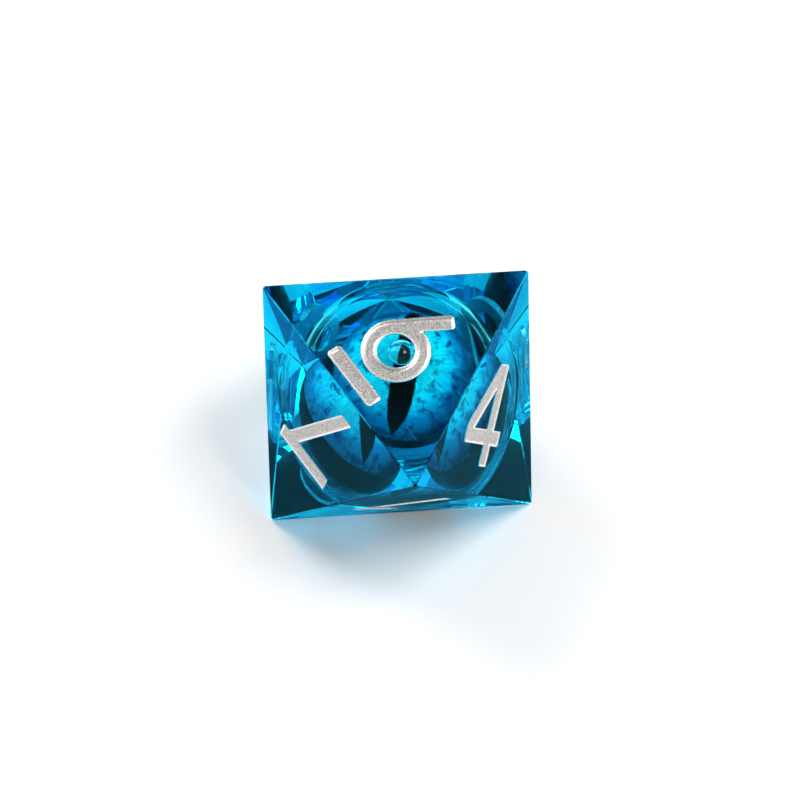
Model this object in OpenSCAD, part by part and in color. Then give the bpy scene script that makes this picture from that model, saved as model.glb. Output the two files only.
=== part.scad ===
// Eight-sided gaming die of tinted clear resin, cast round a sealed round capsule.
// In the capsule a weighted eye floats in oil and turns to face up when the die stops.
// Millimetres. The origin is the middle of the face that the die rests on, +Z is up,
// and the 6 is on top. Opposite faces add up to nine.

/* [Die] */
// Distance between opposite faces
across_flats = 16; // [15.8:0.1:18]
// How far each corner is polished back from a sharp point
corner_blunt = 0.2; // [0.05:0.05:0.6]
// How far each straight edge is eased
edge_blunt = 0.04; // [0.01:0.01:0.12]

/* [Numerals] */
// Width of a numeral's stroke
stroke = 1.15; // [0.8:0.05:1.2]
// Depth of the engraving
engrave_depth = 0.3; // [0.15:0.01:0.34]
// How far the paint lies below the face
paint_drop = 0.06; // [0.02:0.01:0.1]
// Length of the bar under the 6
underline_w = 5.36; // [4:0.1:5.6]

/* [Capsule] */
// Outer radius of the capsule
capsule_r = 7.55; // [7.3:0.05:7.55]
// Thickness of the capsule's wall
capsule_wall = 0.4; // [0.3:0.05:0.5]
// Height of the step where the two half shells meet
lip_h = 0.35; // [0.2:0.05:0.6]
// Radius of the plug that closes the filling hole
plug_r = 0.6; // [0.4:0.05:0.8]

/* [Eye] */
// Radius of the black ball that carries the iris
eye_r = 5.8; // [5:0.05:5.85]
// Oil left between the ball and the capsule where they are closest
oil_gap = 0.07; // [0.03:0.01:0.2]
// How far the ball lies to one side of the capsule's centre
eye_aside = 0.45; // [0:0.05:0.5]
// Angle from the ball's top to the edge of the iris
iris_span = 75; // [60:1:80]
// Thickness of the iris cap
iris_t = 0.25; // [0.15:0.05:0.4]
// Radius of the steel ball that weights the eye
ballast_r = 1.5; // [1:0.1:2]
// Thickness of the black ball under its weight
ballast_floor = 0.9; // [0.5:0.1:1.5]

/* [Bubble] */
// Radius of the air bubble's round underside
bubble_r = 1.05; // [0.7:0.05:1.3]
// How much of the bubble is flattened against the capsule
bubble_flat = 0.35; // [0.1:0.05:0.6]

/* [Hidden] */
$fn = 96;
mid_h = across_flats / 2;                    // height of the die's centre
corner_r = across_flats * sqrt(3) / 2;       // centre to an unblunted corner
edge_r = corner_r / sqrt(2);                 // centre to the middle of an edge
slab = 4 * corner_r;                         // larger than the die every way
corner_lean = asin(1 / sqrt(3));             // tilt of the three upper corners above level
capsule_in = capsule_r - capsule_wall;
lip_r = capsule_r - capsule_wall / 2;
eye_low = sqrt(pow(capsule_in - oil_gap - eye_r, 2) - pow(eye_aside, 2));
eye_h = mid_h - eye_low;                     // height of the black ball's centre
iris_foot = eye_r * cos(iris_span);          // height of the iris's edge above the ball's centre
ballast_low = eye_r - ballast_floor - ballast_r;
bubble_gap = 0.03;                           // film of oil over the bubble
bubble_h = mid_h + capsule_in - bubble_r + bubble_flat;

// Unit vectors from the centre to the three upper corners
function corner(turn) =
    [cos(turn) * cos(corner_lean), sin(turn) * cos(corner_lean), sin(corner_lean)];
even_turn = 30;                              // the tops of the even numerals point here
even_corner = corner(even_turn);
side_corner = corner(even_turn + 120);
front_corner = corner(even_turn + 240);

// The numerals round the even corner, then those round the opposite corner
EVENS = [6, 4, 2, 8];
ODDS = [7, 1, 3, 5];

// Shared lines of the numerals, from the middle of a face
foot_y = -3.5;
head_y = 4.2;
waist_y = 0.65;
small_bowl_r = (head_y - stroke / 2 - waist_y) / 2;
large_bowl_r = (waist_y - foot_y - stroke / 2) / 2;
loop_r = 1.98;                               // middle of the 6's loop
loop_y = -0.55;
lean = 61;                                   // slope of the 6's tail and the 7's stem

// ---- numerals, drawn flat with the face's middle at the origin ----

module ring(r) difference() {
    circle(r + stroke / 2);
    circle(r - stroke / 2);
}

module arc(r, from, to) intersection() {
    ring(r);
    polygon([[0, 0], for (i = [0 : 4]) let (a = from + (to - from) * i / 4) 3 * r * [cos(a), sin(a)]]);
}

// Straight stroke between two points, cut square at both ends
module bar(p, q) {
    d = q - p;
    translate(p) rotate(atan2(d[1], d[0])) translate([0, -stroke / 2]) square([norm(d), stroke]);
}

// Rectangle with rounded corners, its lower left corner at the origin
module soft_bar(w, h, r) {
    translate([r, 0]) square([w - 2 * r, h]);
    translate([0, r]) square([w, h - 2 * r]);
    for (x = [r, w - r], y = [r, h - r]) translate([x, y]) circle(r);
}

module one() {
    stem_x = 0.05;
    flag_w = 1.7;
    translate([stem_x - stroke / 2, foot_y]) square([stroke, head_y - foot_y]);
    polygon([
        [stem_x, head_y], [stem_x - flag_w - stroke / 2, head_y - flag_w],
        [stem_x - flag_w - stroke / 2, head_y - flag_w - stroke], [stem_x, head_y - 1.3 * stroke]
    ]);
}

module two() {
    bowl_r = 1.85;
    bowl_y = head_y - stroke / 2 - bowl_r;
    leave = -44;                             // where the bowl runs into the slope
    foot_w = 4.9;
    from = [bowl_r * cos(leave), bowl_y + bowl_r * sin(leave)];
    fall = (from[1] - foot_y - stroke / 2) / cos(leave);
    slope = [sin(leave), -cos(leave)];
    overlap = 0.03;                          // the slope starts inside the bowl
    translate([0, bowl_y]) arc(bowl_r, leave, 165);
    bar(from - overlap * fall * slope, from + fall * slope);
    translate([-foot_w / 2, foot_y]) square([foot_w, stroke]);
}

module three() {
    translate([0, waist_y + small_bowl_r]) arc(small_bowl_r, -90, 150);
    translate([0, waist_y - large_bowl_r]) arc(large_bowl_r, -150, 90);
    translate([-0.7, waist_y - stroke / 2]) square([0.8, stroke]);
}

module four() difference() {
    left = -3.75;
    right = 1.75;
    stem = [-0.5, 0.6];
    bar = [-1.9, stroke - 1.9];
    polygon([
        [left, bar[0]], [stem[0], bar[0]], [stem[0], foot_y], [stem[1], foot_y], [stem[1], bar[0]],
        [right, bar[0]], [right, bar[1]], [stem[1], bar[1]], [stem[1], head_y], [-0.6, head_y], [left, -0.5]
    ]);
    polygon([[-2.6, bar[1]], [stem[0], bar[1]], [stem[0], 2.25]]);
}

module five() {
    stem_x = -2.1;
    translate([stem_x, head_y - stroke]) square([4.3, stroke]);
    translate([stem_x, 0]) square([stroke, head_y]);
    translate([0, waist_y - large_bowl_r]) arc(large_bowl_r, -150, 140);
}

module six() translate([0, loop_y]) {
    tail = 4.5;
    start = -0.2;                            // the tail starts inside the loop
    sink = 0.02;                             // and lies this far inside its outer edge
    ring(loop_r);
    rotate(lean) translate([start, loop_r - stroke / 2 - sink]) {
        square([tail / 2, stroke]);
        soft_bar(tail - start, stroke, 0.25);
    }
}

module six_underline() translate([-underline_w / 2, -4.85]) soft_bar(underline_w, 1.04 * stroke, 0.3);

module seven() {
    top = 3.7;
    right = 2.75;
    low = -3.8;
    run = (top - low) / tan(lean);
    thick = 0.94 * stroke / sin(lean);
    translate([-2.85, top - 1.04 * stroke]) square([right + 2.85, 1.04 * stroke]);
    polygon([[right, top], [right - thick, top], [right - run - thick, low], [right - run, low]]);
}

module eight() {
    translate([0, waist_y + small_bowl_r]) ring(small_bowl_r);
    translate([0, waist_y - large_bowl_r]) ring(large_bowl_r);
}

module numeral(n) {
    if (n == 1) one();
    if (n == 2) two();
    if (n == 3) three();
    if (n == 4) four();
    if (n == 5) five();
    if (n == 6) six();
    if (n == 7) seven();
    if (n == 8) eight();
}

// ---- places ----

// Puts a flat drawing on the face of a numeral: Z runs out of the face, Y to the numeral's top
module on_face(n) {
    even = n % 2 == 0;
    step = search(n, even ? EVENS : ODDS)[0];
    translate([0, 0, mid_h]) rotate(a = 90 * step, v = even_corner)
        rotate(a = even ? 0 : 180, v = side_corner + front_corner)
        translate([0, 0, mid_h]) rotate(even_turn - 90) children();
}

// A sunk layer of a drawing, from one depth below the face to another
module sunk(top, bottom) translate([0, 0, -bottom]) linear_extrude(bottom - top) children();

module paint(n) color("silver") on_face(n) sunk(paint_drop, engrave_depth) numeral(n);

// Slab between two planes at a distance either side of the centre, across a direction
module slab_across(direction, distance) {
    tilt = acos(direction[2] / norm(direction));
    rotate([0, tilt, atan2(direction[1], direction[0])]) cube([slab, slab, 2 * distance], center = true);
}

// ---- pieces ----

module octahedron() intersection() {
    for_faces = [for (i = [0 : 3]) [i == 1 ? -1 : 1, i == 2 ? -1 : 1, i == 3 ? -1 : 1]];
    intersection_for (s = for_faces)
        slab_across(s[0] * even_corner + s[1] * side_corner + s[2] * front_corner, mid_h);
    intersection_for (s = [-1, 1]) intersection() {
        slab_across(even_corner + s * side_corner, edge_r - edge_blunt);
        slab_across(side_corner + s * front_corner, edge_r - edge_blunt);
        slab_across(front_corner + s * even_corner, edge_r - edge_blunt);
    }
    sphere(corner_r - corner_blunt);
}

module resin_body() color([0, 0.6, 0.78, 0.35]) difference() {
    translate([0, 0, mid_h]) octahedron();
    translate([0, 0, mid_h]) sphere(capsule_r);
    for (n = [1 : 8]) on_face(n) sunk(-1, engrave_depth) numeral(n);
    on_face(6) sunk(-1, engrave_depth) six_underline();
}

module numeral_6_underline() color("silver") on_face(6) sunk(paint_drop, engrave_depth) six_underline();

module shell() difference() {
    sphere(capsule_r);
    sphere(capsule_in);
}

// The upper half keeps the inner half of the wall below the seam, as a lip
module capsule_upper() color([0.8, 0.95, 1, 0.3]) translate([0, 0, mid_h]) intersection() {
    shell();
    union() {
        translate([-slab / 2, -slab / 2, 0]) cube(slab);
        translate([0, 0, -lip_h]) cylinder(r = lip_r, h = 2 * lip_h);
    }
}

module capsule_lower() color([0.75, 0.9, 1, 0.3]) translate([0, 0, mid_h]) difference() {
    shell();
    translate([-slab / 2, -slab / 2, 0]) cube(slab);
    translate([0, 0, -lip_h]) cylinder(r = lip_r, h = 2 * lip_h);
    translate([0, 0, -slab / 2]) cylinder(r = plug_r, h = slab / 2);
}

module fill_plug() color([0.7, 0.85, 1, 0.4]) translate([0, 0, mid_h]) intersection() {
    shell();
    translate([0, 0, -slab / 2]) cylinder(r = plug_r, h = slab / 2);
}

module at_eye() translate([eye_aside, 0, eye_h]) children();

module bubble() intersection() {
    translate([0, 0, bubble_h]) sphere(bubble_r);
    translate([0, 0, mid_h]) sphere(capsule_in - bubble_gap);
}

module oil_fill() color([0.6, 0.9, 1, 0.25]) difference() {
    translate([0, 0, mid_h]) sphere(capsule_in);
    at_eye() sphere(eye_r);
    bubble();
}

// The ball is moulded round its weight and steps in where the iris cap sits
module eye_ball() color([0.05, 0.05, 0.06]) at_eye() difference() {
    union() {
        sphere(eye_r - iris_t);
        intersection() {
            sphere(eye_r);
            translate([-slab / 2, -slab / 2, iris_foot - slab]) cube(slab);
        }
    }
    translate([0, 0, -ballast_low]) sphere(ballast_r);
}

module eye_ballast() color("dimgray") at_eye() translate([0, 0, -ballast_low]) sphere(ballast_r);

module iris_cap() color([0.05, 0.45, 0.7]) at_eye() difference() {
    intersection() {
        sphere(eye_r);
        translate([-slab / 2, -slab / 2, iris_foot]) cube(slab);
    }
    sphere(eye_r - iris_t);
}

resin_body();
paint(1);  // numeral_1
paint(2);  // numeral_2
paint(3);  // numeral_3
paint(4);  // numeral_4
paint(5);  // numeral_5
paint(6);  // numeral_6
numeral_6_underline();
paint(7);  // numeral_7
paint(8);  // numeral_8
capsule_upper();
capsule_lower();
fill_plug();
oil_fill();
eye_ball();
eye_ballast();
iris_cap();
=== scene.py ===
import math
from itertools import product

import bmesh
import bpy
import numpy as np
from mathutils import Matrix, Vector
from mathutils.geometry import delaunay_2d_cdt


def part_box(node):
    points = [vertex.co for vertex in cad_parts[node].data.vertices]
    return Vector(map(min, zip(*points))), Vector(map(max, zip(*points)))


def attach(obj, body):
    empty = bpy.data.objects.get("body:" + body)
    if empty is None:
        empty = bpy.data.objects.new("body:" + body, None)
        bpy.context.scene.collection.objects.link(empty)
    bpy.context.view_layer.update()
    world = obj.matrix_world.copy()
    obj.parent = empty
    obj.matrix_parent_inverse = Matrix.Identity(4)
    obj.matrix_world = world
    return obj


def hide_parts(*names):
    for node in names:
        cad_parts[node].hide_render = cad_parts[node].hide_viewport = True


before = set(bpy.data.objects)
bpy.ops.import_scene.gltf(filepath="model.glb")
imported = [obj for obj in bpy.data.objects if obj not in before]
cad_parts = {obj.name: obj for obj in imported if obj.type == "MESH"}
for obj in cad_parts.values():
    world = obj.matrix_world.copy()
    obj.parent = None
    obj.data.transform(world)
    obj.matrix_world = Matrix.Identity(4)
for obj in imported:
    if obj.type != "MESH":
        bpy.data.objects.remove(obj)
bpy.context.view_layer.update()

mm = 0.001
scene = bpy.context.scene


# small helpers

def linearColour(code):
    channels = [int(code[i:i + 2], 16) / 255 for i in (1, 3, 5)]
    return [c / 12.92 if c <= 0.04045 else ((c + 0.055) / 1.055) ** 2.4 for c in channels] + [1.0]


def addNode(tree, kind, settings={}, links={}):
    node = tree.nodes.new(kind)
    for name, value in settings.items():
        setattr(node, name, value)
    for socket, value in links.items():
        if isinstance(value, bpy.types.NodeSocket):
            tree.links.new(value, node.inputs[socket])
        else:
            node.inputs[socket].default_value = value
    return node


def startMaterial(name):
    material = bpy.data.materials.new(name)
    material.use_nodes = True
    material.node_tree.nodes.clear()
    return material, material.node_tree


def finishMaterial(tree, surface, volume=None):
    output = addNode(tree, "ShaderNodeOutputMaterial", {}, {"Surface": surface})
    if volume:
        tree.links.new(volume, output.inputs["Volume"])


def newPiece(name, mesh, materials, smooth=True):
    piece = bpy.data.objects.new(name, mesh)
    scene.collection.objects.link(piece)
    for material in materials:
        mesh.materials.append(material)
    mesh.polygons.foreach_set("use_smooth", [smooth] * len(mesh.polygons))
    return piece


def meshFrom(name, vertices, faces):
    mesh = bpy.data.meshes.new(name)
    mesh.from_pydata([tuple(v) for v in vertices], [], faces)
    mesh.update()
    return mesh


def roundMesh(name, radius, centre, detail):
    bm = bmesh.new()
    bmesh.ops.create_icosphere(bm, subdivisions=detail, radius=radius)
    bmesh.ops.translate(bm, verts=bm.verts, vec=centre)
    mesh = bpy.data.meshes.new(name)
    bm.to_mesh(mesh)
    bm.free()
    return mesh


def mergedCopy(node):
    bm = bmesh.new()
    bm.from_mesh(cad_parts[node].data)
    bmesh.ops.remove_doubles(bm, verts=bm.verts, dist=1e-8)
    return bm


# where things are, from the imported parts

low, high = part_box("resin_body")
centre = (low + high) / 2
acrossFaces = high.z - low.z
cornerLean = math.asin(1 / math.sqrt(3))  # three corners rise by this round the top face
cornerReach = math.cos(cornerLean)
cornerWays = [
    Vector((math.cos(turn) * cornerReach, math.sin(turn) * cornerReach, math.sin(cornerLean)))
    for turn in (math.radians(30), math.radians(150), math.radians(270))
]
faceNormals = [
    sum((way * side for way, side in zip(cornerWays, sides)), Vector()) / math.sqrt(3)
    for sides in product((1, -1), repeat=3)
]


def halfWidth(node):
    lowest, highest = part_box(node)
    return (highest.x - lowest.x) / 2


capsuleRadius = halfWidth("capsule_upper")
oilRadius = halfWidth("oil_fill")
eyeRadius = halfWidth("eye_ball")
eyeLow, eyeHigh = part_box("eye_ball")
eyeCentre = Vector(((eyeLow.x + eyeHigh.x) / 2, (eyeLow.y + eyeHigh.y) / 2, eyeLow.z + eyeRadius))


def inMm(values):
    return tuple(round(value / mm, 3) for value in values)


print("centres of die and eye", inMm(centre), inMm(eyeCentre))
print("radii of capsule, oil and eye", inMm((capsuleRadius, oilRadius, eyeRadius)))

# refractive indexes: each boundary inside the die bends light by the ratio of the two sides
indexes = {"resin": 1.56, "capsule": 1.49, "oil": 1.47, "air": 1.0}


# resin block

resin = {
    "tint": (0.36, 0.028, 0.003),  # absorbed per mm of red, green and blue
    "haze": 0.002,                 # scattered per mm by the dye
    "hazeColour": "#40F0FF",
    "gloss": "#888888",            # head-on reflection is weaker than at the edges
    "recessDeep": 0.22,            # points deeper than this are the floor of an engraved numeral
    "recessFloor": 0.21,           # and come up to this, where the paint wets the resin
    "cavityMargin": 0.02,          # points this close to the capsule belong to the cavity
    "waveSize": 3.0,               # slow waves that hand polishing leaves
    "waveHeight": 0.0012,
    "waveRoughness": 0.4,
}


def castResin():
    # clear cast epoxy dyed blue and polished to a wet gloss, deeper in colour where it is thicker
    material, tree = startMaterial("castEpoxyResin")
    place = addNode(tree, "ShaderNodeTexCoord").outputs["Object"]
    waves = addNode(tree, "ShaderNodeTexNoise", {}, {
        "Vector": place, "Scale": 1 / (resin["waveSize"] * mm), "Detail": 1.0,
        "Roughness": resin["waveRoughness"]})
    bump = addNode(tree, "ShaderNodeBump", {}, {
        "Height": waves.outputs["Fac"], "Distance": resin["waveHeight"] * mm, "Strength": 1.0})
    shader = addNode(tree, "ShaderNodeBsdfPrincipled", {}, {
        "Base Color": linearColour("#FFFFFF"), "Roughness": 0.0, "IOR": indexes["resin"],
        "Transmission Weight": 1.0, "Specular Tint": linearColour(resin["gloss"]),
        "Normal": bump.outputs["Normal"]})
    strongest = max(resin["tint"])
    dye = addNode(tree, "ShaderNodeVolumeAbsorption", {}, {
        "Color": [1 - t / strongest for t in resin["tint"]] + [1.0], "Density": strongest / mm})
    haze = addNode(tree, "ShaderNodeVolumeScatter", {}, {
        "Color": linearColour(resin["hazeColour"]), "Density": resin["haze"] / mm})
    inside = addNode(tree, "ShaderNodeAddShader", {}, {0: dye.outputs[0], 1: haze.outputs[0]})
    finishMaterial(tree, shader.outputs[0], inside.outputs[0])
    return material


def makeResin():
    bm = mergedCopy("resin_body")
    cavity = capsuleRadius + resin["cavityMargin"] * mm
    inner = [v for v in bm.verts if (v.co - centre).length < cavity]
    bmesh.ops.delete(bm, geom=inner, context="VERTS")  # the capsule's own surface draws the cavity
    for v in bm.verts:
        normal = max(faceNormals, key=lambda n: n.dot(v.co - centre))
        depth = acrossFaces / 2 - normal.dot(v.co - centre)
        if depth > resin["recessDeep"] * mm:
            v.co += normal * (depth - resin["recessFloor"] * mm)
    mesh = bpy.data.meshes.new("resinBlock")
    bm.to_mesh(mesh)
    bm.free()
    block = newPiece("resinBlock", mesh, [castResin()], smooth=False)
    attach(block, "die")
    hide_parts("resin_body")
    return block


resinBlock = makeResin()
print("resin block:", len(resinBlock.data.polygons), "faces")


# silver paint in the numerals

paint = {
    "spacing": 0.06,         # between points on the paint's top
    "rowStep": 0.87,         # rows lie this much of the spacing apart, in near-even triangles
    "rowClear": 0.4,         # and their points keep this much of it off the edge
    "spread": 0.012,         # how far the paint keys into the walls
    "wobble": 0.010,         # unevenness of the paint's edge
    "edgeDepth": 0.012,      # the paint climbs the walls almost to the face
    "troughDepth": 0.165,    # and sinks in the middle as it dries
    "underDepth": 0.24,
    "climbWidth": 0.22,      # how far from the wall the climb starts
    "climbRate": 2.0,
    "climbPower": 1.6,
    "cornerPasses": 10,      # wet paint pulls back from sharp corners: passes of smoothing there
    "cornerLeast": 0.02,     # and curves that move less than this stay as they are
    "dull": "#827E7A",
    "flake": "#E2DEDA",
    "flakeSize": 0.085,      # real flakes are finer, but would not show at this distance
    "flakeHeight": 0.016,
    "flakeFrom": 0.36,       # the noise goes from dull to bright between these
    "flakeTo": 0.66,
    "flakeRoughness": 0.36,
    "paintedRimHighlight": "#FAF8F6",  # painted highlight: a near-white put into the rim's colour, standing in for the light its lips catch
    "rimRoughness": 0.22,
    "rimShine": 0.8,         # how much of the painted rim highlight the edge has
    "metallic": 0.85,
}


def silverPaint():
    # model paint brushed into the numerals: aluminium flakes, grainy and half matt, with a highlight painted
    # into its colour at the rim
    material, tree = startMaterial("aluminiumFlakePaint")
    place = addNode(tree, "ShaderNodeTexCoord").outputs["Object"]
    grain = addNode(tree, "ShaderNodeTexNoise", {}, {
        "Vector": place, "Scale": 1 / (paint["flakeSize"] * mm), "Detail": 2.0, "Roughness": 0.6})
    rim = addNode(tree, "ShaderNodeAttribute", {"attribute_name": "rim"}).outputs["Fac"]
    flakes = addNode(tree, "ShaderNodeValToRGB", {}, {"Fac": grain.outputs["Fac"]})
    flakes.color_ramp.elements[0].position = paint["flakeFrom"]
    flakes.color_ramp.elements[0].color = linearColour(paint["dull"])
    flakes.color_ramp.elements[1].position = paint["flakeTo"]
    flakes.color_ramp.elements[1].color = linearColour(paint["flake"])
    # painted highlight: the colour goes towards near-white where the rim attribute is high
    shade = addNode(tree, "ShaderNodeMix", {"data_type": "RGBA"}, {
        0: rim, 6: flakes.outputs["Color"], 7: linearColour(paint["paintedRimHighlight"])})
    rough = addNode(tree, "ShaderNodeMapRange", {}, {
        "Value": rim, "To Min": paint["flakeRoughness"], "To Max": paint["rimRoughness"]})
    bump = addNode(tree, "ShaderNodeBump", {}, {
        "Height": grain.outputs["Fac"], "Distance": paint["flakeHeight"] * mm, "Strength": 0.8})
    shader = addNode(tree, "ShaderNodeBsdfPrincipled", {}, {
        "Base Color": shade.outputs[2], "Metallic": paint["metallic"], "Roughness": rough.outputs[0],
        "Normal": bump.outputs["Normal"]})
    finishMaterial(tree, shader.outputs[0])
    return material


def makePaint(node, material, seed):
    bm = mergedCopy(node)
    middle = sum((v.co for v in bm.verts), Vector()) / len(bm.verts) - centre
    normal = max(faceNormals, key=lambda n: n.dot(middle))
    across = normal.orthogonal().normalized()
    turn = Matrix((across, normal.cross(across), normal)).transposed()
    origin = centre + normal * acrossFaces / 2
    local = {v: turn.transposed() @ (v.co - origin) for v in bm.verts}
    level = max(p.z for p in local.values())
    onTop = {v for v, p in local.items() if p.z > level - 1e-6}
    topFaces = [f for f in bm.faces if all(v in onTop for v in f.verts)]  # in order, for the random draws
    nextPoint = {}
    for f in topFaces:
        for loop in f.loops:
            if not any(other in topFaces for other in loop.edge.link_faces if other is not f):
                nextPoint[loop.vert] = loop.link_loop_next.vert
    loops = []
    while nextPoint:
        start, around = next(iter(nextPoint)), []
        v = start
        while v in nextPoint:
            around.append(Vector((local[v].x, local[v].y)))
            v = nextPoint.pop(v)
        loops.append(around)
    bm.free()

    # even steps along each outline, with its corners kept
    step = paint["spacing"] * mm
    outlines = []
    for around in loops:
        points = []
        for a, b in zip(around, around[1:] + around[:1]):
            pieces = max(1, round((b - a).length / step))
            points += [a.lerp(b, i / pieces) for i in range(pieces)]
        outline = np.array([tuple(p) for p in points])
        soft = outline
        for again in range(paint["cornerPasses"]):
            soft = (np.roll(soft, 1, axis=0) + soft + np.roll(soft, -1, axis=0)) / 3
        moved = soft - outline
        way = np.roll(outline, -1, axis=0) - np.roll(outline, 1, axis=0)
        moved[moved[:, 0] * way[:, 1] > moved[:, 1] * way[:, 0]] = 0  # an inner corner keeps its paint
        far = np.linalg.norm(moved, axis=1) / (paint["cornerLeast"] * mm)
        outlines.append(outline + moved * np.clip(far - 1, 0, 1)[:, None])
    starts = np.concatenate(outlines)
    ends = np.concatenate([np.roll(o, -1, axis=0) for o in outlines])

    def inside(points):
        x, y = points[:, :1], points[:, 1:]
        (x0, y0), (x1, y1) = starts.T, ends.T
        crossing = (y0 > y) != (y1 > y)
        slope = np.where(y1 == y0, 1, y1 - y0)
        return (crossing & (x < (x1 - x0) * (y - y0) / slope + x0)).sum(axis=1) % 2 == 1

    def reach(points):
        way = ends - starts
        along = ((points[:, None] - starts) * way).sum(-1) / np.maximum((way ** 2).sum(-1), 1e-18)
        nearest = starts + np.clip(along, 0, 1)[..., None] * way
        return np.linalg.norm(points[:, None] - nearest, axis=-1).min(axis=1)

    lowXY, highXY = starts.min(0), starts.max(0)
    rows = np.arange(lowXY[1], highXY[1], step * paint["rowStep"])
    grid = np.array([
        (x + (row % 2) * step / 2, y)
        for row, y in enumerate(rows) for x in np.arange(lowXY[0], highXY[0], step)
    ])
    grid = grid[inside(grid)]
    gridReach = reach(grid)
    clear = gridReach > step * paint["rowClear"]
    grid, gridReach = grid[clear], gridReach[clear]

    points = [Vector(p) for p in starts] + [Vector(p) for p in grid]
    edges, first = [], 0
    for outline in outlines:
        count = len(outline)
        edges += [(first + i, first + (i + 1) % count) for i in range(count)]
        first += count

    def fill(cloud):
        out = delaunay_2d_cdt(cloud, edges, [], 0, 1e-9)
        middles = np.array([tuple(sum((out[0][i] for i in t), Vector((0, 0))) / 3) for t in out[2]])
        keep = inside(middles)
        names = [out[3][i][0] for i in range(len(out[0]))]
        return [tuple(names[i] for i in t) for t, k in zip(out[2], keep) if k]

    # the edge moves out a little, unevenly, so that the paint grips the resin
    rng = np.random.default_rng(seed)
    spots = []
    for outline in outlines:
        before, after = np.roll(outline, 1, axis=0), np.roll(outline, -1, axis=0)
        way = after - before
        out = np.stack([way[:, 1], -way[:, 0]], axis=1)
        out /= np.maximum(np.linalg.norm(out, axis=1, keepdims=True), 1e-12)
        rough = rng.normal(0, 1, len(outline))
        rough = (rough + np.roll(rough, 1) + np.roll(rough, 2)) / 3
        push = paint["spread"] + paint["wobble"] * np.clip(rough, -1, 1.5)
        spots.append(outline + out * push[:, None] * mm)
    rim = np.concatenate(spots)
    fromWall = gridReach / (paint["climbWidth"] * mm)
    climb = np.exp(-fromWall ** paint["climbPower"] * paint["climbRate"])
    depth = paint["troughDepth"] - (paint["troughDepth"] - paint["edgeDepth"]) * climb
    top = [(x, y, -paint["edgeDepth"] * mm) for x, y in rim]
    top += [(x, y, -d * mm) for (x, y), d in zip(grid, depth)]
    under = [(x, y, -paint["underDepth"] * mm) for x, y in rim]
    faces = fill(points)
    base = len(top)
    faces += [(b, a, base + a, base + b) for a, b in edges]
    faces += [tuple(base + i for i in reversed(t)) for t in fill(points[:len(starts)])]
    vertices = [origin + turn @ Vector(p) for p in top + under]
    name = node.replace("numeral_", "silverNumeral")
    piece = newPiece(name, meshFrom(node, vertices, faces), [material])
    isTop = [len(p.vertices) == 3 and p.vertices[0] < base for p in piece.data.polygons]
    piece.data.polygons.foreach_set("use_smooth", isTop)
    # the rim attribute says where the highlight is painted into the paint's colour
    bright = piece.data.attributes.new("rim", "FLOAT", "POINT")
    edge = [paint["rimShine"]] * len(rim)
    paintedShine = np.clip(climb * 1.3 - 0.2, 0, 1)  # the painted shine fades out before the climb does
    bright.data.foreach_set("value", edge + list(paintedShine) + edge)
    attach(piece, "die")
    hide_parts(node)
    return piece


silver = silverPaint()
for seed, node in enumerate(sorted(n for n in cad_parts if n.startswith("numeral_"))):
    made = makePaint(node, silver, seed)
    print("paint:", made.name, len(made.data.polygons), "faces")


# capsule and oil

def innerGlass(name, inside, outside):
    material, tree = startMaterial(name)  # a clear boundary inside the die, with no colour of its own
    shader = addNode(tree, "ShaderNodeBsdfGlass", {}, {
        "Color": linearColour("#FFFFFF"), "Roughness": 0.0, "IOR": indexes[inside] / indexes[outside]})
    finishMaterial(tree, shader.outputs[0])
    return material


# moulded acrylic half shells, cemented: they almost vanish in the resin but for a bright rim
clearAcrylic = innerGlass("clearAcrylic", "capsule", "resin")
capsuleMesh = roundMesh("capsuleShell", capsuleRadius, centre, 7)
capsuleShell = newPiece("capsuleShell", capsuleMesh, [clearAcrylic])
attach(capsuleShell, "die")
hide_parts("capsule_upper", "capsule_lower", "fill_plug")

# clear silicone oil: its edge shows as fine arcs round the eye
siliconeOil = innerGlass("siliconeOil", "oil", "capsule")
oilVolume = newPiece("oilVolume", roundMesh("oilVolume", oilRadius, centre, 7), [siliconeOil])
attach(oilVolume, "die")
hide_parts("oil_fill")

bubble = {
    "width": 2.1,
    "height": 0.9,
    "skin": 0.04,      # oil left between the bubble and the capsule
    "shoulder": 0.12,  # how much of its height the bubble's top drops towards its rim
}


def makeBubble():
    bm = bmesh.new()
    bmesh.ops.create_icosphere(bm, subdivisions=6, radius=1.0)
    roof = oilRadius - bubble["skin"] * mm
    for v in bm.verts:
        side = bubble["width"] / 2 * mm
        tall = bubble["height"] * mm
        x, y, z = v.co.x * side, v.co.y * side, v.co.z
        dome = math.sqrt(roof ** 2 - x ** 2 - y ** 2)  # the capsule flattens the bubble's top
        ceiling = dome - bubble["shoulder"] * tall * (x * x + y * y) / side ** 2
        floor = roof - tall
        v.co = Vector((x, y, ceiling + (z - 1) * (ceiling - floor) / 2)) + centre
    mesh = bpy.data.meshes.new("airBubble")
    bm.to_mesh(mesh)
    bm.free()
    return mesh


# air left in the oil: it bends light strongly, so it shows as bright rings round a dark spot
trappedAir = innerGlass("trappedAir", "air", "oil")
airBubble = newPiece("airBubble", makeBubble(), [trappedAir])
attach(airBubble, "eye")
print("capsule, oil and bubble")


# fine marks round the capsule, each made by a Geometry Nodes tree

marks = {
    "bubbles": 46,          # air bubbles that clung to the capsule as the resin set
    "bubbleSize": 0.035,    # the largest one's radius
    "bubbleLeast": 0.35,    # and the smallest, as a share of it
    "nearest": 0.06,        # how far they sit from the capsule
    "furthest": 0.24,
    "bubbleSeed": 4,
    "scratches": 18,
    "scratchSweep": 13.0,   # degrees round the capsule
    "scratchWidth": 0.006,
    "scratchLift": 0.01,    # keeps them off the capsule's surface
    "scratchSeed": 7,
    "scratchPatch": 0.5,    # length over which a scratch fades and brightens
}


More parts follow.
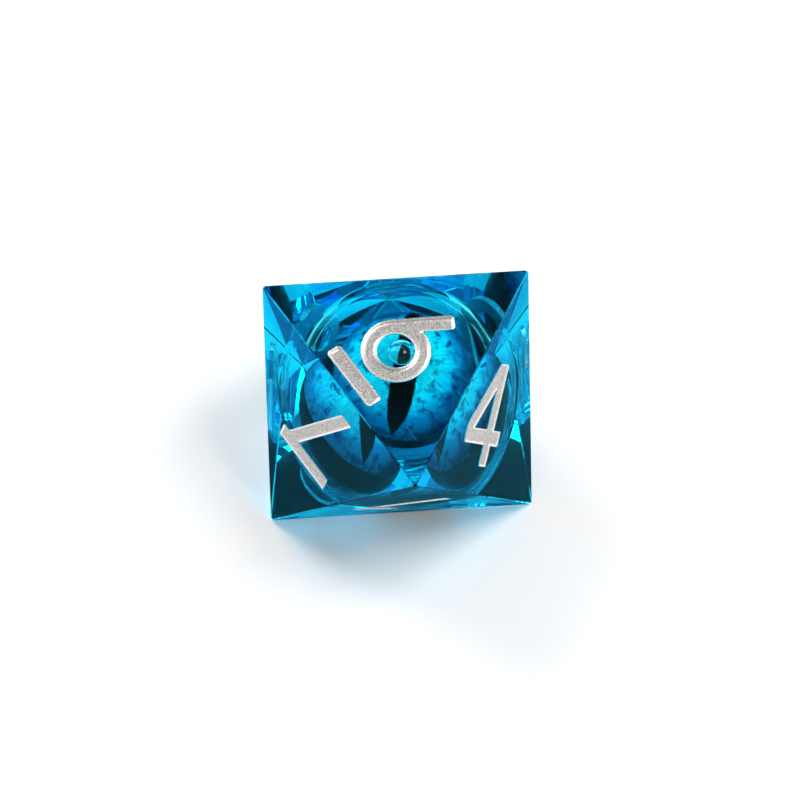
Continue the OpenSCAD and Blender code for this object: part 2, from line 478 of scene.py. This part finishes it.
def startTree(name, inputs):
    tree = bpy.data.node_groups.new(name, "GeometryNodeTree")
    for label, kind in inputs:
        tree.interface.new_socket(label, in_out="INPUT", socket_type=kind)
    tree.interface.new_socket("Geometry", in_out="OUTPUT", socket_type="NodeSocketGeometry")
    return tree, tree.nodes.new("NodeGroupInput").outputs


def finishTree(tree, instances, material):
    real = addNode(tree, "GeometryNodeRealizeInstances", {}, {0: instances})
    done = addNode(tree, "GeometryNodeSetMaterial", {}, {"Geometry": real.outputs[0], "Material": material})
    addNode(tree, "NodeGroupOutput", {}, {0: done.outputs[0]})


def bakeTree(tree, name, values, body):
    piece = newPiece(name, bpy.data.meshes.new(name), [])
    modifier = piece.modifiers.new(name, "NODES")
    modifier.node_group = tree
    for socket in tree.interface.items_tree:
        if socket.in_out == "INPUT":
            modifier[socket.identifier] = values[socket.name]
    shape = piece.evaluated_get(bpy.context.evaluated_depsgraph_get())
    whole = bpy.data.meshes.new_from_object(shape)
    piece.modifiers.remove(modifier)
    piece.data = whole
    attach(piece, body)
    print(name + ":", len(whole.polygons), "faces")
    return piece


def bubbleTree():
    tree, given = startTree("microBubbleTree", [
        ("Count", "NodeSocketInt"), ("Size", "NodeSocketFloat"), ("Centre", "NodeSocketVector"),
        ("Nearest", "NodeSocketFloat"), ("Furthest", "NodeSocketFloat"), ("Seed", "NodeSocketInt"),
        ("Material", "NodeSocketMaterial")])
    points = addNode(tree, "GeometryNodeMeshLine", {}, {"Count": given["Count"]})
    way = addNode(tree, "FunctionNodeRandomValue", {"data_type": "FLOAT_VECTOR"}, {
        0: (-1, -1, -1), 1: (1, 1, 1), "Seed": given["Seed"]})
    unit = addNode(tree, "ShaderNodeVectorMath", {"operation": "NORMALIZE"}, {0: way.outputs[0]})
    reach = addNode(tree, "FunctionNodeRandomValue", {"data_type": "FLOAT"}, {
        2: given["Nearest"], 3: given["Furthest"], "Seed": given["Seed"]})
    arm = addNode(tree, "ShaderNodeVectorMath", {"operation": "SCALE"}, {
        0: unit.outputs[0], "Scale": reach.outputs[1]})
    spot = addNode(tree, "ShaderNodeVectorMath", {"operation": "ADD"}, {
        0: arm.outputs[0], 1: given["Centre"]})
    placed = addNode(tree, "GeometryNodeSetPosition", {}, {
        "Geometry": points.outputs[0], "Position": spot.outputs[0]})
    drop = addNode(tree, "GeometryNodeMeshIcoSphere", {}, {"Radius": given["Size"], "Subdivisions": 2})
    size = addNode(tree, "FunctionNodeRandomValue", {"data_type": "FLOAT"}, {
        2: marks["bubbleLeast"], 3: 1.0, "Seed": given["Seed"]})
    many = addNode(tree, "GeometryNodeInstanceOnPoints", {}, {
        "Points": placed.outputs[0], "Instance": drop.outputs[0], "Scale": size.outputs[1]})
    finishTree(tree, many.outputs[0], given["Material"])
    return tree


def scratchTree():
    tree, given = startTree("capsuleScratchTree", [
        ("Count", "NodeSocketInt"), ("Radius", "NodeSocketFloat"), ("Sweep", "NodeSocketFloat"),
        ("Width", "NodeSocketFloat"), ("Centre", "NodeSocketVector"), ("Seed", "NodeSocketInt"),
        ("Material", "NodeSocketMaterial")])
    arc = addNode(tree, "GeometryNodeCurveArc", {}, {
        "Resolution": 24, "Radius": given["Radius"], "Sweep Angle": given["Sweep"]})
    thread = addNode(tree, "GeometryNodeCurvePrimitiveCircle", {}, {
        "Resolution": 5, "Radius": given["Width"]})
    along = addNode(tree, "GeometryNodeSplineParameter").outputs["Factor"]
    bow = addNode(tree, "ShaderNodeMath", {"operation": "PINGPONG"}, {0: along, 1: 0.5})  # thin at both ends
    thin = addNode(tree, "GeometryNodeSetCurveRadius", {}, {0: arc.outputs[0], "Radius": bow.outputs[0]})
    line = addNode(tree, "GeometryNodeCurveToMesh", {}, {
        "Curve": thin.outputs[0], "Profile Curve": thread.outputs[0], "Fill Caps": True})
    points = addNode(tree, "GeometryNodeMeshLine", {}, {
        "Count": given["Count"], "Start Location": given["Centre"], "Offset": (0, 0, 0)})
    turn = addNode(tree, "FunctionNodeRandomValue", {"data_type": "FLOAT_VECTOR"}, {
        0: (-math.pi, -math.pi, -math.pi), 1: (math.pi, math.pi, math.pi), "Seed": given["Seed"]})
    many = addNode(tree, "GeometryNodeInstanceOnPoints", {}, {
        "Points": points.outputs[0], "Instance": line.outputs[0], "Rotation": turn.outputs[0]})
    finishTree(tree, many.outputs[0], given["Material"])
    return tree


def scratchLight():
    # handling scratches in the moulded acrylic: their torn edges scatter light, so they look pale
    material, tree = startMaterial("scratchedAcrylic")
    place = addNode(tree, "ShaderNodeTexCoord").outputs["Object"]
    broken = addNode(tree, "ShaderNodeTexNoise", {}, {
        "Vector": place, "Scale": 1 / (marks["scratchPatch"] * mm)})
    shade = addNode(tree, "ShaderNodeValToRGB", {}, {"Fac": broken.outputs["Fac"]})
    shade.color_ramp.elements[0].color = linearColour("#5C9CB0")
    shade.color_ramp.elements[1].color = linearColour("#F0FFFF")
    shader = addNode(tree, "ShaderNodeBsdfPrincipled", {}, {
        "Base Color": shade.outputs["Color"], "Roughness": 0.5})
    finishMaterial(tree, shader.outputs[0])
    return material


# air caught as the resin set: pin-points that sparkle
castInAir = innerGlass("castInAir", "air", "resin")
bakeTree(bubbleTree(), "microBubbles", {
    "Count": marks["bubbles"], "Size": marks["bubbleSize"] * mm, "Centre": centre,
    "Nearest": capsuleRadius + marks["nearest"] * mm,
    "Furthest": capsuleRadius + marks["furthest"] * mm,
    "Seed": marks["bubbleSeed"], "Material": castInAir}, "die")
bakeTree(scratchTree(), "capsuleScratches", {
    "Count": marks["scratches"], "Radius": capsuleRadius + marks["scratchLift"] * mm,
    "Sweep": math.radians(marks["scratchSweep"]), "Width": marks["scratchWidth"] * mm,
    "Centre": centre, "Seed": marks["scratchSeed"], "Material": scratchLight()}, "die")


# eye

iris = {
    "yaw": -14.5,            # degrees that the slit is turned, seen from above
    "span": 75,              # degrees from the top of the ball to the iris's edge
    "thick": 0.25,
    "rings": 72,
    "spokes": 256,
    "pupilHalf": 0.92,       # the slit's greatest half width
    "pupilTip": 5.4,         # and its half length
    "pupilPower": 6.0,       # a higher power keeps it wide for longer
    "pupilHook": 0.25,       # its tips lean this far to one side
    "fringe": 0.25,          # raggedness of the slit's edge
    "edgeFrom": -0.03,       # the edge goes from black to colour between these
    "edgeTo": 0.10,
    "streaksRound": 9.0,     # a streak is this fine round the slit
    "streaksOut": 0.35,      # and this coarse along its length
    "paintedSideShade": 0.10,       # one side is darker by this share of the way out: partly the print's own tone, partly painted shade
    "ragged": 0.35,          # how far blotches push the rings of colour in and out
    "middle": "#1CD8DE",
    "colours": ((0.45, "#4CFEFA"), (0.64, "#22DCF0"), (0.77, "#0A8CB8"), (0.92, "#086080")),
    "outside": "#02101E",
    "blotch": "#054272",
    "blotchFrom": 0.32,
    "blotchTo": 0.48,
    "streakDark": 0.75,
    "streakBright": 1.2,
}

ball = {
    "coat": 0.02,   # the printed cap stands this proud of the black
    "cloud": 1.5,   # the black varies a little over this length
}


def blackEnamel():
    # black acrylic enamel, dipped and wet with oil, so it hardly shines
    material, tree = startMaterial("blackAcrylicEnamel")
    place = addNode(tree, "ShaderNodeTexCoord").outputs["Object"]
    cloud = addNode(tree, "ShaderNodeTexNoise", {}, {
        "Vector": place, "Scale": 1 / (ball["cloud"] * mm), "Detail": 3.0})
    shade = addNode(tree, "ShaderNodeValToRGB", {}, {"Fac": cloud.outputs["Fac"]})
    shade.color_ramp.elements[0].color = linearColour("#050507")
    shade.color_ramp.elements[1].color = linearColour("#12151A")
    shader = addNode(tree, "ShaderNodeBsdfPrincipled", {}, {
        "Base Color": shade.outputs["Color"], "Roughness": 0.35, "IOR": 1.15})
    finishMaterial(tree, shader.outputs[0])
    return material


def irisPrint():
    # ink-jet print on a plastic cap, wet with oil: matt colour in streaks and blotches
    material, tree = startMaterial("printedIris")
    place = addNode(tree, "ShaderNodeTexCoord").outputs["Object"]
    centred = addNode(tree, "ShaderNodeMapping", {"vector_type": "TEXTURE"}, {
        "Vector": place, "Location": eyeCentre, "Rotation": (0, 0, math.radians(iris["yaw"])),
        "Scale": (mm, mm, mm)})
    axes = addNode(tree, "ShaderNodeSeparateXYZ", {}, {0: centred.outputs[0]})
    x, y, z = axes.outputs
    flat = addNode(tree, "ShaderNodeCombineXYZ", {}, {0: x, 1: y, 2: 0.0})
    length = addNode(tree, "ShaderNodeVectorMath", {"operation": "LENGTH"}, {0: flat.outputs[0]})
    reach = length.outputs["Value"]

    def value(operation, a, b=0.0, c=0.0, clamp=False):
        return addNode(tree, "ShaderNodeMath", {"operation": operation, "use_clamp": clamp},
                       {0: a, 1: b, 2: c}).outputs[0]

    # streaks run out from the slit: the noise is stretched along the way out
    way = addNode(tree, "ShaderNodeVectorMath", {"operation": "NORMALIZE"}, {0: flat.outputs[0]})
    ringPlace = addNode(tree, "ShaderNodeVectorMath", {"operation": "SCALE"}, {
        0: way.outputs[0], "Scale": iris["streaksRound"]})
    ringAxes = addNode(tree, "ShaderNodeSeparateXYZ", {}, {0: ringPlace.outputs[0]})
    streakPlace = addNode(tree, "ShaderNodeCombineXYZ", {}, {
        0: ringAxes.outputs[0], 1: ringAxes.outputs[1],
        2: value("MULTIPLY", reach, iris["streaksOut"])})
    streaks = addNode(tree, "ShaderNodeTexNoise", {}, {
        "Vector": streakPlace.outputs[0], "Scale": 1.6, "Detail": 5.0, "Roughness": 0.65,
        "Distortion": 0.3})
    blotches = addNode(tree, "ShaderNodeTexNoise", {}, {
        "Vector": centred.outputs[0], "Scale": 1.1, "Detail": 4.0, "Roughness": 0.6,
        "Distortion": 0.6})

    # distance from the slit's edge, in mm
    alongSlit = value("DIVIDE", value("ABSOLUTE", y), iris["pupilTip"])
    tip = value("POWER", alongSlit, iris["pupilPower"])
    half = value("MULTIPLY", value("SUBTRACT", 1.0, tip), iris["pupilHalf"])
    fringe = value("MULTIPLY", value("SUBTRACT", streaks.outputs["Fac"], 0.5), iris["fringe"])
    hooked = value("MULTIPLY_ADD", tip, iris["pupilHook"], x)
    fromSlit = value("ADD", value("SUBTRACT", value("ABSOLUTE", hooked), half), fringe)
    slit = addNode(tree, "ShaderNodeMapRange", {"interpolation_type": "SMOOTHSTEP"}, {
        "Value": fromSlit, "From Min": iris["edgeFrom"], "From Max": iris["edgeTo"]})

    outward = value("DIVIDE", reach, eyeRadius / mm)
    # partly painted shade: the colour ramp is pushed darker towards one side of the iris
    leaning = value("MULTIPLY_ADD", x, iris["paintedSideShade"] / (eyeRadius / mm), outward)
    blotched = value("SUBTRACT", blotches.outputs["Fac"], 0.5)
    ragged = value("MULTIPLY_ADD", blotched, -iris["ragged"], leaning)
    depthRamp = addNode(tree, "ShaderNodeValToRGB", {}, {"Fac": ragged})
    ramp = depthRamp.color_ramp
    ramp.elements[0].position = 0.10
    ramp.elements[0].color = linearColour(iris["middle"])
    ramp.elements[1].position = 0.99
    ramp.elements[1].color = linearColour(iris["outside"])
    for position, code in iris["colours"]:
        ramp.elements.new(position).color = linearColour(code)
    light = addNode(tree, "ShaderNodeMapRange", {}, {
        "Value": streaks.outputs["Fac"], "From Min": 0.32, "From Max": 0.68,
        "To Min": iris["streakDark"], "To Max": iris["streakBright"]})
    dark = addNode(tree, "ShaderNodeMapRange", {}, {
        "Value": blotches.outputs["Fac"], "From Min": iris["blotchFrom"], "From Max": iris["blotchTo"]})
    mottled = addNode(tree, "ShaderNodeMix", {"data_type": "RGBA"}, {
        0: dark.outputs[0], 6: linearColour(iris["blotch"]), 7: depthRamp.outputs["Color"]})
    colour = addNode(tree, "ShaderNodeVectorMath", {"operation": "SCALE"}, {
        0: mottled.outputs[2], "Scale": value("MULTIPLY", light.outputs[0], slit.outputs[0])})
    shader = addNode(tree, "ShaderNodeBsdfPrincipled", {}, {
        "Base Color": colour.outputs[0], "Roughness": 0.45, "IOR": 1.1})
    finishMaterial(tree, shader.outputs[0])
    return material


def makeIris():
    rings, spokes = iris["rings"], iris["spokes"]
    span = math.radians(iris["span"])
    outer, inner = eyeRadius, eyeRadius - iris["thick"] * mm
    vertices, faces = [], []
    for radius in (outer, inner):
        vertices.append(eyeCentre + Vector((0, 0, radius)))
        for ring in range(1, rings + 1):
            lean = span * ring / rings
            if ring == rings:  # both faces end at one height, so the cap's edge is level
                lean = math.acos(eyeRadius * math.cos(span) / radius)
            for spoke in range(spokes):
                turn = 2 * math.pi * spoke / spokes
                vertices.append(eyeCentre + radius * Vector((
                    math.sin(lean) * math.cos(turn), math.sin(lean) * math.sin(turn), math.cos(lean))))
    layer = 1 + rings * spokes
    for spoke in range(spokes):
        after = (spoke + 1) % spokes
        faces.append((0, 1 + spoke, 1 + after))
        faces.append((layer, layer + 1 + after, layer + 1 + spoke))
        for ring in range(rings - 1):
            a, b = 1 + ring * spokes + spoke, 1 + ring * spokes + after
            faces.append((a, a + spokes, b + spokes, b))
            faces.append((layer + a, layer + b, layer + b + spokes, layer + a + spokes))
        a, b = 1 + (rings - 1) * spokes + spoke, 1 + (rings - 1) * spokes + after
        faces.append((a, layer + a, layer + b, b))
    return meshFrom("irisCap", vertices, faces)


irisCap = newPiece("irisCap", makeIris(), [irisPrint()])
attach(irisCap, "eye")
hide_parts("iris_cap")

ballMesh = roundMesh("eyeBall", eyeRadius - ball["coat"] * mm, eyeCentre, 6)
eyeBall = newPiece("eyeBall", ballMesh, [blackEnamel()])
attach(eyeBall, "eye")
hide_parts("eye_ball")


def steel():
    material, tree = startMaterial("chromeSteelBall")  # a ground and lapped bearing ball, close to a mirror
    place = addNode(tree, "ShaderNodeTexCoord").outputs["Object"]
    lapping = addNode(tree, "ShaderNodeTexNoise", {}, {"Vector": place, "Scale": 1 / (0.3 * mm)})
    rough = addNode(tree, "ShaderNodeMapRange", {}, {
        "Value": lapping.outputs["Fac"], "To Min": 0.15, "To Max": 0.35})
    shader = addNode(tree, "ShaderNodeBsdfPrincipled", {}, {
        "Base Color": linearColour("#C4C4C6"), "Metallic": 1.0, "Roughness": rough.outputs[0]})
    finishMaterial(tree, shader.outputs[0])
    return material


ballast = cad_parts["eye_ballast"]
ballast.data.materials.clear()
ballast.data.materials.append(steel())
print("eye")


# stage, lights and camera

stage = {
    "gap": 0.02,           # dust keeps the resting face this far off the table
    "tableHalf": 3.0,      # metres
    "table": "#F8F8F8",
    "paintedPoolReflection": "#44A0BC",  # painted reflection: sharp mirror images of the table get the cyan of the light that pools round the die
    "fibre": 0.8,
    "fibreHeight": 0.01,
    "camera": (-30.06, -200.29, 408.08),
    "right": (0.99584, -0.08514, 0.03246),
    "up": (0.06150, 0.89093, 0.44996),
    "lens": 273.3,
    "walls": 1.15,         # brightness of the room near the horizon
    "wallsTo": 0.35,       # they are as bright up to this height, 1 being straight up
    "wallsMirrored": 0.4,  # how much of the walls a sharp mirror image keeps
    "ceiling": 0.15,       # brightness overhead
    "ceilingFrom": 0.85,
    "backdrop": 0.5,       # seen straight from the camera, as bright as the table's far end
}
lamps = [  # place in mm, size in mm, watts
    ((220, 50, 380), 230, 1.25),
    ((-230, 290, 320), 230, 1.2),
]


# 1 for a ray that has just been mirrored sharply, 0 for a bent or a scattered one
def mirrorRay(tree):
    path = addNode(tree, "ShaderNodeLightPath")
    return addNode(tree, "ShaderNodeMath", {"operation": "SUBTRACT", "use_clamp": True}, {
        0: path.outputs["Is Singular Ray"], 1: path.outputs["Is Transmission Ray"]}).outputs[0]


def makeFloor():
    half, level = stage["tableHalf"], -stage["gap"] * mm
    corners = [(x * half, y * half, level) for x, y in ((-1, -1), (1, -1), (1, 1), (-1, 1))]
    mesh = meshFrom("tableTop", corners, [(0, 1, 2, 3)])
    material, tree = startMaterial("whitePaperPaintedReflection")  # uncoated card, matt with a faint tooth; its sharp mirror images show a painted reflection of cyan light
    place = addNode(tree, "ShaderNodeTexCoord").outputs["Object"]
    fibre = addNode(tree, "ShaderNodeTexNoise", {}, {
        "Vector": place, "Scale": 1 / (stage["fibre"] * mm), "Detail": 2.0})
    bump = addNode(tree, "ShaderNodeBump", {}, {
        "Height": fibre.outputs["Fac"], "Distance": stage["fibreHeight"] * mm, "Strength": 0.3})
    # painted reflection: rays that were just mirrored sharply see the table cyan
    mirrored = addNode(tree, "ShaderNodeMix", {"data_type": "RGBA"}, {
        0: mirrorRay(tree), 6: linearColour(stage["table"]), 7: linearColour(stage["paintedPoolReflection"])})
    shader = addNode(tree, "ShaderNodeBsdfPrincipled", {}, {
        "Base Color": mirrored.outputs[2], "Roughness": 0.9, "Specular IOR Level": 0.1,
        "Normal": bump.outputs["Normal"]})
    finishMaterial(tree, shader.outputs[0])
    table = newPiece("tableTop", mesh, [material], smooth=False)


def makeRoom():
    world = bpy.data.worlds.new("studio")
    scene.world = world
    world.use_nodes = True
    tree = world.node_tree
    tree.nodes.clear()
    way = addNode(tree, "ShaderNodeTexCoord").outputs["Generated"]
    rise = addNode(tree, "ShaderNodeSeparateXYZ", {}, {0: way}).outputs["Z"]
    around = addNode(tree, "ShaderNodeMapRange", {"interpolation_type": "SMOOTHSTEP"}, {
        "Value": rise, "From Min": stage["wallsTo"], "From Max": stage["ceilingFrom"],
        "To Min": stage["walls"], "To Max": stage["ceiling"]})
    kept = addNode(tree, "ShaderNodeMapRange", {}, {
        "Value": mirrorRay(tree), "To Min": 1.0, "To Max": stage["wallsMirrored"]})
    strength = addNode(tree, "ShaderNodeMath", {"operation": "MULTIPLY"}, {
        0: around.outputs[0], 1: kept.outputs[0]})
    direct = addNode(tree, "ShaderNodeLightPath").outputs["Is Camera Ray"]
    seen = addNode(tree, "ShaderNodeMix", {"data_type": "FLOAT"}, {
        0: direct, 2: strength.outputs[0], 3: stage["backdrop"]})
    light = addNode(tree, "ShaderNodeBackground", {}, {
        "Color": linearColour("#FFFFFF"), "Strength": seen.outputs[0]})
    addNode(tree, "ShaderNodeOutputWorld", {}, {"Surface": light.outputs[0]})


def makeLamps():
    for number, (place, size, watts) in enumerate(lamps):
        lamp = bpy.data.lights.new("softbox" + str(number), "AREA")
        lamp.energy, lamp.size = watts, size * mm
        box = bpy.data.objects.new(lamp.name, lamp)
        scene.collection.objects.link(box)
        box.location = Vector(place) * mm
        box.rotation_euler = (centre - box.location).to_track_quat("-Z", "Y").to_euler()


def makeCamera():
    lens = bpy.data.cameras.new("camera")
    camera = bpy.data.objects.new("camera", lens)
    scene.collection.objects.link(camera)
    right, up = Vector(stage["right"]), Vector(stage["up"])
    turn = Matrix((right, up, right.cross(up))).transposed().to_4x4()
    camera.matrix_world = Matrix.Translation(Vector(stage["camera"]) * mm) @ turn
    lens.sensor_width, lens.lens = 36, stage["lens"]
    lens.clip_start, lens.clip_end = 0.01, 10
    scene.camera = camera


makeFloor()
makeRoom()
makeLamps()
makeCamera()
scene.view_settings.view_transform = "Standard"
manyBounces = 32  # light crosses the nested shells many times before it leaves
scene.cycles.max_bounces = manyBounces
scene.cycles.transmission_bounces = manyBounces
scene.cycles.glossy_bounces = manyBounces
scene.cycles.transparent_max_bounces = manyBounces
scene.cycles.diffuse_bounces = 6
scene.cycles.volume_bounces = 3  # with none, the haze in the resin stays black
scene.cycles.caustics_reflective = True
scene.cycles.caustics_refractive = True
scene.cycles.blur_glossy = 0
print("stage")
